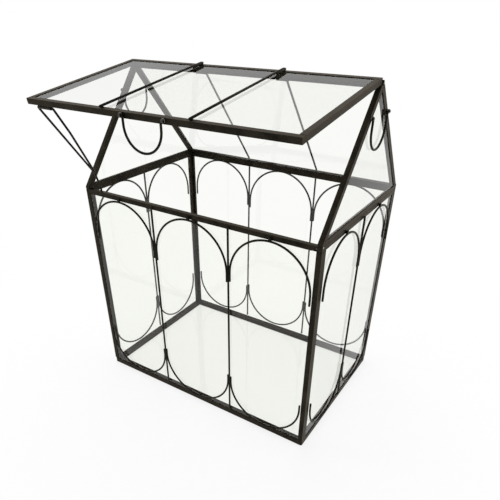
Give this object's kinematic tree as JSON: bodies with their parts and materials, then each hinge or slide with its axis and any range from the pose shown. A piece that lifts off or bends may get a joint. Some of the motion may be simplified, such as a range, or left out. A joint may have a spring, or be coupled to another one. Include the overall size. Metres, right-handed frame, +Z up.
{
  "type": "miniature greenhouse",
  "caption": "Table-top glazed case with a pitched roof, a hinged glass lid held open by a folding wire prop, wire arches on every wall and bail handles on the lid and gables.",
  "frame": {"origin": "centre of the flat underside of the case", "axes": "+X along the ridge to the right, +Y from the lid side to the fixed roof slope, +Z up"},
  "size_m": [0.409, 0.345, 0.5053],
  "materials": {
    "frame_metal": "dark bronze patina, satin",
    "wire_metal": "near-black patina, satin",
    "pane_glass": "clear, polished"
  },
  "bodies": {
    "frame": {"base_bar_front": "frame_metal", "base_bar_back": "frame_metal", "base_bar_left": "frame_metal", "base_bar_right": "frame_metal", "corner_post_front_left": "frame_metal", "corner_post_front_right": "frame_metal", "corner_post_back_left": "frame_metal", "corner_post_back_right": "frame_metal", "eave_bar_front": "frame_metal", "eave_bar_back": "frame_metal", "eave_bar_left": "frame_metal", "eave_bar_right": "frame_metal", "rafter_front_left": "frame_metal", "rafter_front_right": "frame_metal", "rafter_back_left": "frame_metal", "rafter_back_right": "frame_metal", "ridge_bar": "frame_metal", "glass_front": "pane_glass", "glass_back": "pane_glass", "glass_left": "pane_glass", "glass_right": "pane_glass", "glass_gable_left": "pane_glass", "glass_gable_right": "pane_glass", "glass_floor": "pane_glass", "glass_roof_back": "pane_glass", "roof_rod_left": "wire_metal", "roof_rod_right": "wire_metal", "ridge_hinge_left": "frame_metal", "ridge_hinge_right": "frame_metal", "tracery_front": "wire_metal", "tracery_back": "wire_metal", "tracery_left": "wire_metal", "tracery_right": "wire_metal", "gable_handle_lug_left_front": "wire_metal", "gable_handle_lug_left_back": "wire_metal", "gable_handle_lug_right_front": "wire_metal", "gable_handle_lug_right_back": "wire_metal"},
    "lid": {"lid_bar_front": "frame_metal", "lid_bar_back": "frame_metal", "lid_bar_left": "frame_metal", "lid_bar_right": "frame_metal", "lid_glass": "pane_glass", "lid_rod_left": "wire_metal", "lid_rod_right": "wire_metal", "lid_hinge_left": "frame_metal", "lid_hinge_right": "frame_metal", "lid_handle_lug_left": "wire_metal", "lid_handle_lug_right": "wire_metal", "prop_tube": "frame_metal"},
    "prop": {"prop": "wire_metal"},
    "lid_handle": {"lid_handle": "wire_metal"},
    "gable_handle_left": {"gable_handle_left": "wire_metal"},
    "gable_handle_right": {"gable_handle_right": "wire_metal"}
  },
  "joints": [
    {"name": "lid_hinge", "type": "hinge", "parent": "frame", "child": "lid", "pos_m": [0, -0.00366, 0.49179], "axis": [1, 0, 0], "range_deg": [0, 42.1]},
    {"name": "prop_fold", "type": "hinge", "parent": "lid", "child": "prop", "pos_m": [-0.17, -0.19998, 0.46362], "axis": [1, 0, 0], "range_deg": [0, 66]},
    {"name": "lid_handle_swing", "type": "hinge", "parent": "lid", "child": "lid_handle", "pos_m": [0, -0.20591, 0.46974], "axis": [1, 0, 0], "range_deg": [-47, 0]},
    {"name": "gable_handle_left_swing", "type": "hinge", "parent": "frame", "child": "gable_handle_left", "pos_m": [-0.2019, 0, 0.4614], "axis": [0, 1, 0], "range_deg": [0, 175]},
    {"name": "gable_handle_right_swing", "type": "hinge", "parent": "frame", "child": "gable_handle_right", "pos_m": [0.2019, 0, 0.4614], "axis": [0, -1, 0], "range_deg": [0, 175]}
  ],
  "couplings": [
    {"joint": "prop_fold", "follows": "lid_hinge", "ratio": 1.55},
    {"joint": "lid_handle_swing", "follows": "lid_hinge", "ratio": -1.1}
  ]
}
